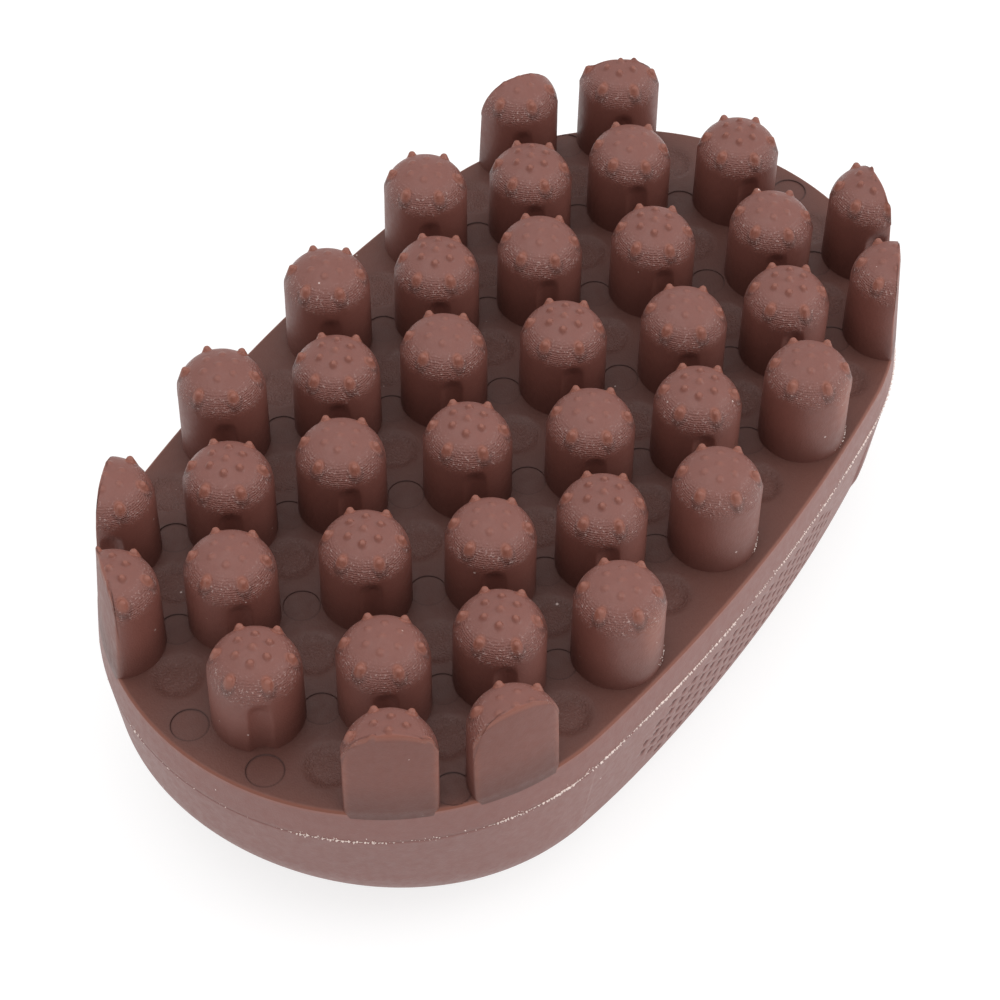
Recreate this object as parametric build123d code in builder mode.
from build123d import *
import os
from math import hypot, radians, sqrt, tan

# Rubber curry brush: an oval palm grip, a toothed half seated on it, and 38 massaging pegs.
# Millimetres. The brush lies on its palm face with the pegs up: +X along the oval, +Y across it,
# +Z up, origin under the middle of the palm face.

# Oval outline at the parting line, where the brush is widest: two nose arcs and two long side arcs
length = 137.4
nose_radius = 38.3
side_bulge = 2.0  # how far the side arcs stand out past the nose circles

# Palm half, from the palm face up to the parting line
grip_depth = 25.0
grip_draft = 6.5  # degrees inwards, down from the parting line
palm_rounding = 12.0
palm_flat = 40.0  # length of the flat that the brush rests on
rocker_radius = 120.0  # from that flat the underside rises to both noses on this arc

# Finger pads, pressed a little further into the long sides of the palm half
pad_length = 73.0
pad_draft = 8.3

# Toothed half, from the parting line up to the floor that the pegs stand on
tooth_plate = 5.7
tooth_draft = 4.3  # degrees inwards, up from the parting line, on its wall and on the pegs' cut faces
bowl_width = 7.0  # shallow bowls in the floor between the pegs, with a flat middle
bowl_flat = 4.2
bowl_depth = 0.8

# Peg pattern: staggered rows along X, each peg opposite a gap of the next row
end_inset = 9.7  # from a nose in to the axes of the last column
centre_inset = 10.95  # the centre row is set a little closer, clear of the noses
side_inset = 8.25  # from the middle of a side in to the axes of the outer row
row_share = [0.0, 0.3775, 0.677, 1.0]  # where the rows stand between the centre and the outer row
last_column = [5, 4, 5, 4]

# One peg: a slightly drafted shank that rolls over into a domed end
peg_width = 12.1
peg_draft = 0.4
shank_height = 10.8  # up to the corner that the shoulder rounds off
shoulder_rounding = 4.8
dome_radius = 7.3
rim_lift = 1.2  # the pegs at the rim are this much taller
groove_width = 4.9  # an upright groove is a slice of a cylinder of this width
groove_bite = 0.6
groove_height = 9.4

half_length = length / 2
half_width = nose_radius + side_bulge
nose_centre = half_length - nose_radius
side_centre = (nose_centre**2 - side_bulge**2) / (2 * side_bulge)  # behind the long axis
side_radius = half_width + side_centre
floor_level = grip_depth + tooth_plate
floor_lean = tooth_plate * tan(radians(tooth_draft))  # the floor's edge lies this far inside the outline
peg_radius = peg_width / 2
last_row = len(row_share) - 1
outer_row = half_width - side_inset
column_pitch = (half_length - end_inset) / max(last_column)
centre_row_pitch = (half_length - centre_inset) / last_column[0]


def spot(column, row):
    """Place of a point of the peg pattern; negative rows mirror the positive ones."""
    pitch = centre_row_pitch if row == 0 else column_pitch
    side = -1 if row < 0 else 1
    return Vector(column * pitch, side * row_share[abs(row)] * outer_row)


def inside_outline(place, margin):
    """True where a circle of radius margin about the place lies whole on the floor."""
    x, y = abs(place.X), abs(place.Y)
    past_the_join = x * side_centre > nose_centre * (y + side_centre)
    if past_the_join:
        return hypot(x - nose_centre, y) + margin < nose_radius - floor_lean
    return hypot(x, y + side_centre) + margin < side_radius - floor_lean


def is_peg(column, row):
    return (column + row) % 2 == 1 and abs(column) <= last_column[abs(row)]


def mark_beside(column, row):
    """Direction from a peg to the floor mark on its -X, -Y side, or None where there is no room."""
    step = spot(column - 1, max(row - 1, -last_row)) - spot(column, row)
    mark = spot(column, row) + step / 2
    if row == -last_row or not inside_outline(mark, groove_width / 2):
        return None
    return step.normalized()


rows = range(-last_row, last_row + 1)
columns = range(-max(last_column), max(last_column) + 1)
pegs = [(column, row) for row in rows for column in columns if is_peg(column, row)]
bowls = [
    spot(column, row)
    for row in rows
    for column in columns
    if (column + row) % 2 == 0 and inside_outline(spot(column, row), bowl_width / 2)
]

# The oval: the arcs meet on the lines from the side centres through the nose centres
to_join = side_radius / hypot(nose_centre, side_centre)
join_x = nose_centre * to_join
join_y = side_centre * (to_join - 1)
with BuildSketch() as oval:
    with BuildLine():
        for side in (1, -1):
            x, y = side * join_x, side * join_y
            ThreePointArc((x, -y), (side * half_length, 0), (x, y))
            ThreePointArc((x, y), (0, side * half_width), (-x, y))
    make_face()

# Both halves draw in from the parting line, the toothed one as far up as its tallest pegs
highest = shank_height + rim_lift + dome_radius
upper_form = extrude(Plane.XY.offset(grip_depth) * oval.sketch, tooth_plate + highest, taper=tooth_draft)

# What the finger pads take away: a block across both sides, less a core that narrows downwards
pad_core = extrude(Plane.XY.offset(grip_depth) * oval.sketch, -grip_depth, taper=pad_draft)
pad_waste = Pos(0, 0, grip_depth / 2) * Box(pad_length, 3 * half_width, grip_depth) - pad_core

with BuildPart() as grip_body:
    with BuildSketch(Plane.XY.offset(grip_depth)):
        add(oval.sketch)
    extrude(amount=-grip_depth, taper=grip_draft)
    with BuildSketch(Plane.XZ):
        for side in (1, -1):
            with BuildLine():
                middle = (side * palm_flat / 2, rocker_radius)
                rise = CenterArc(middle, rocker_radius, 270, side * 45)
                Line(rise @ 0, (side * length, 0))
                Line((side * length, 0), rise @ 1)
            make_face()
    extrude(amount=2 * half_width, both=True, mode=Mode.SUBTRACT)
    low_edges = grip_body.edges().filter_by(lambda edge: edge.center().Z < grip_depth / 2)
    fillet(low_edges.filter_by(Axis.Y, reverse=True), palm_rounding)
    add(pad_waste, mode=Mode.SUBTRACT)
grip_body.part.label = "grip_body"

with BuildPart() as tooth_pad:
    with BuildSketch(Plane.XY.offset(grip_depth)):
        add(oval.sketch)
    extrude(amount=tooth_plate, taper=tooth_draft)
    with Locations([bowl + Vector(0, 0, floor_level) for bowl in bowls]):
        Cone(
            bowl_flat / 2,
            bowl_width / 2,
            bowl_depth,
            align=(Align.CENTER, Align.CENTER, Align.MAX),
            mode=Mode.SUBTRACT,
        )
tooth_pad.part.label = "tooth_pad"

os.makedirs("parts", exist_ok=True)
export_step(grip_body.part, "parts/grip_body.step")
export_step(tooth_pad.part, "parts/tooth_pad.step")

# Each peg stands on the floor, and the leaning wall slices off what would stand out past the rim
for column, row in pegs:
    foot = spot(column, row) + Vector(0, 0, floor_level)
    whole = inside_outline(foot, peg_radius)
    at_rim = abs(row) == last_row or not whole
    shoulder = shank_height + (rim_lift if at_rim else 0)
    top_radius = peg_radius - shoulder * tan(radians(peg_draft))
    crown = shoulder + dome_radius - sqrt(dome_radius**2 - top_radius**2)
    with BuildPart() as peg:
        with BuildSketch(Plane(origin=foot, x_dir=(1, 0, 0), z_dir=(0, -1, 0))) as half_section:
            with BuildLine():
                Polyline((0, crown), (0, 0), (peg_radius, 0), (top_radius, shoulder))
                RadiusArc((top_radius, shoulder), (0, crown), -dome_radius)
            make_face()
            fillet(half_section.vertices().sort_by(Axis.X)[-2], shoulder_rounding)
        revolve(axis=Axis(foot, (0, 0, 1)))
        if not whole:
            add(upper_form, mode=Mode.INTERSECT)
        groove_side = mark_beside(column, row)
        if groove_side:
            with Locations(foot + groove_side * (peg_radius + groove_width / 2 - groove_bite)):
                Cylinder(
                    groove_width / 2,
                    groove_height,
                    align=(Align.CENTER, Align.CENTER, Align.MIN),
                    mode=Mode.SUBTRACT,
                )
    name = f"peg_row{row + last_row + 1}_{(column + last_column[abs(row)]) // 2 + 1}"
    peg.part.label = name
    export_step(peg.part, f"parts/{name}.step")
